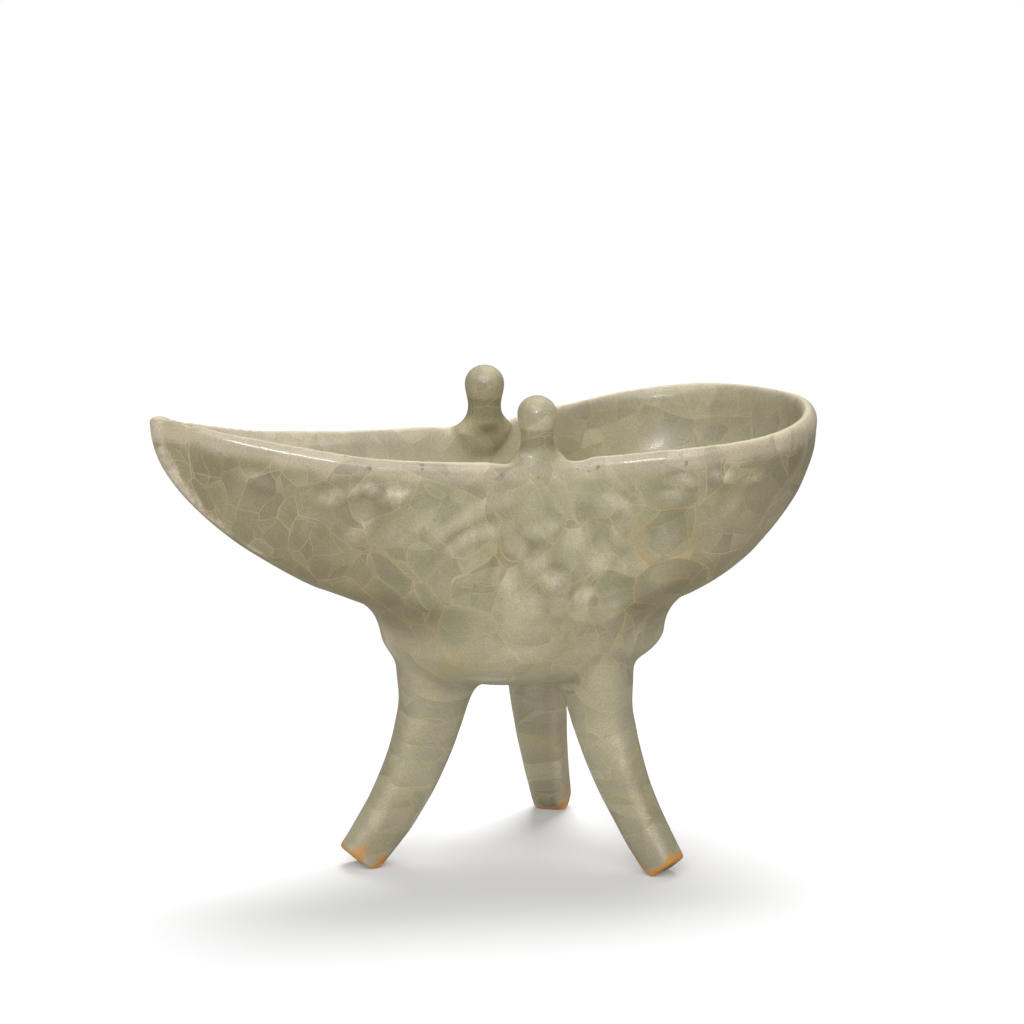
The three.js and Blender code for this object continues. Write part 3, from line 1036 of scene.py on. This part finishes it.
def splitSkin(material):
    whole = bmesh.new()
    whole.from_mesh(skin.data)
    for face in whole.faces:
        face.smooth = True
    bpy.data.objects.remove(skin)
    up = (0, 0, 1)
    for height in (cuts["leg"], cuts["collar"]):
        cutAt(whole, (0, 0, height), up, lambda p: p.z < bodyClay["base"] + cuts["legZone"])
    for height in (cuts["saddle"], cuts["post"]):
        cutAt(whole, (0, 0, height), up, lambda p: any(nearPost(name, p) for name in postNames))
    labels = [pieceOf(f.calc_center_median()) for f in whole.faces]
    names = sorted(set(labels))
    for name in names:
        bm = keepFaces(whole, labels, name)
        if name != "body":
            finishPiece("glazed_" + name, bm, material, [name])
            continue
        cutAt(bm, (0, 0, 0), (0, 1, 0), lambda p: True)
        halves = ["body_front_half" if f.calc_center_median().y < 0 else "body_back_half" for f in bm.faces]
        for half in ("body_front_half", "body_back_half"):
            finishPiece("glazed_" + half, keepFaces(bm, halves, half), material, [half])
        bm.free()
    whole.free()
    print("pieces cut:", names)


splitSkin(glazeMaterial())


# Studio: white floor, soft boxes, and the camera where the photographer stood

studio = {
    "azimuth": -20.98,
    "elevation": 11.6,
    "distance": 1.0,
    "target": (0.00622, 0, 0.07254),
    "lens": 169.5,
    "sensor": 36,
    "clip": (0.01, 50),
    "floor": 0.74,
    "lift": 0.18,           # own light of the floor, not for the cup
    "world": 0.22,
    "floorRadius": 6,
    "floorSides": 96,
    "white": (0.085, 0.24),         # from the middle, where the floor begins to go white and is white
}
softBoxes = {
    # place, width, height, power
    "overhead": ((0.30, 0.43, 1.05), 0.7, 0.7, 14.5),
    "front": ((-0.40, -0.81, 1.02), 1.5, 1.1, 9.4),
    "spark": ((-0.47, -0.96, 0.58), 0.2, 0.1, 2.3),
}
# Dark card on the floor round the cup and up beyond it, seen by the gloss alone
darkCard = {"inner": 0.004, "full": 0.014, "radius": 0.24, "height": 0.27, "above": 0.001, "sides": 48,
            "colour": (0.20, 0.17, 0.125)}


def makeCamera():
    a, e = math.radians(studio["azimuth"]), math.radians(studio["elevation"])
    back = Vector((math.sin(a) * math.cos(e), -math.cos(a) * math.cos(e), math.sin(e)))
    data = bpy.data.cameras.new("camera")
    data.lens = studio["lens"]
    data.sensor_width = studio["sensor"]
    data.clip_start, data.clip_end = studio["clip"]
    camera = inScene("camera", data)
    camera.location = Vector(studio["target"]) + back * studio["distance"]
    camera.rotation_euler = (-back).to_track_quat("-Z", "Y").to_euler()
    bpy.context.scene.camera = camera


def seenDirectly(n):
    path = n.add("ShaderNodeLightPath").outputs
    seen = n.maths("MAXIMUM", path["Is Camera Ray"], path["Is Glossy Ray"])
    return n.maths("MAXIMUM", seen, path["Is Transmission Ray"])


def makeFloor():
    bm = bmesh.new()
    bmesh.ops.create_circle(bm, cap_ends=True, segments=studio["floorSides"], radius=studio["floorRadius"])
    material, n = emptyMaterial("whiteSweep")
    seen = seenDirectly(n)
    lit = n.add("ShaderNodeBsdfDiffuse", {"Color": (studio["floor"],) * 3 + (1,)})
    own = n.add("ShaderNodeEmission", {"Strength": n.maths("MULTIPLY", seen, studio["lift"])})
    both = n.add("ShaderNodeAddShader", {0: lit.outputs[0], 1: own.outputs[0]})
    white = n.add("ShaderNodeEmission", {"Strength": seen})
    far = n.times(n.span(n.length(n.place()), *studio["white"]), seen)
    surface = n.add("ShaderNodeMixShader", {0: far, 1: both.outputs[0], 2: white.outputs[0]})
    n.add("ShaderNodeOutputMaterial", {"Surface": surface.outputs[0]})
    floor = inScene("floor", meshFrom("floor", bm, material))


def makeCard():
    c = darkCard
    bm = bmesh.new()
    ring = bmesh.ops.create_circle(bm, segments=c["sides"], radius=c["inner"])["verts"]
    bmesh.ops.translate(bm, vec=(0, 0, c["above"]), verts=ring)
    edges = list({e for v in ring for e in v.link_edges})
    for wider, higher in ((c["radius"] / c["inner"], 0), (1, c["height"])):
        grown = bmesh.ops.extrude_edge_only(bm, edges=edges)["geom"]
        verts = [v for v in grown if isinstance(v, bmesh.types.BMVert)]
        edges = [e for e in grown if isinstance(e, bmesh.types.BMEdge)]
        bmesh.ops.scale(bm, vec=(wider, wider, 1), verts=verts)
        bmesh.ops.translate(bm, vec=(0, 0, higher), verts=verts)
    material, n = emptyMaterial("darkFelt")
    felt = n.add("ShaderNodeBsdfDiffuse", {"Color": (*c["colour"], 1)})
    clear = n.add("ShaderNodeBsdfTransparent")
    place = n.place()
    dark = n.span(n.length(place), c["inner"], c["full"])
    dark = n.times(dark, n.span(n.part(place, 2), 0, c["height"], 1, 0))
    surface = n.add("ShaderNodeMixShader", {0: dark, 1: clear.outputs[0], 2: felt.outputs[0]})
    n.add("ShaderNodeOutputMaterial", {"Surface": surface.outputs[0]})
    card = inScene("darkCard", meshFrom("darkCard", bm, material))
    for ray in ("camera", "diffuse", "transmission", "shadow", "volume_scatter"):
        setattr(card, "visible_" + ray, False)


def makeLight():
    for name, (place, width, height, power) in softBoxes.items():
        data = bpy.data.lights.new(name, "AREA")
        data.shape = "RECTANGLE"
        data.size, data.size_y = width, height
        data.energy = power
        lamp = inScene(name, data)
        lamp.location = place
        lamp.visible_glossy = name != "overhead"    # the gloss doesn't show the box behind the cup
        aim = Vector(studio["target"]) - Vector(place)
        lamp.rotation_euler = aim.to_track_quat("-Z", "Y").to_euler()
    world = bpy.data.worlds.new("studio")
    bpy.context.scene.world = world
    world.use_nodes = True
    world.node_tree.nodes.clear()
    n = Nodes(world.node_tree)
    background = n.add("ShaderNodeBackground", {"Strength": studio["world"]})
    n.add("ShaderNodeOutputWorld", {"Surface": background.outputs[0]})


makeCamera()
makeFloor()
makeCard()
makeLight()
bpy.context.scene.view_settings.view_transform = "Standard"
print("studio set")
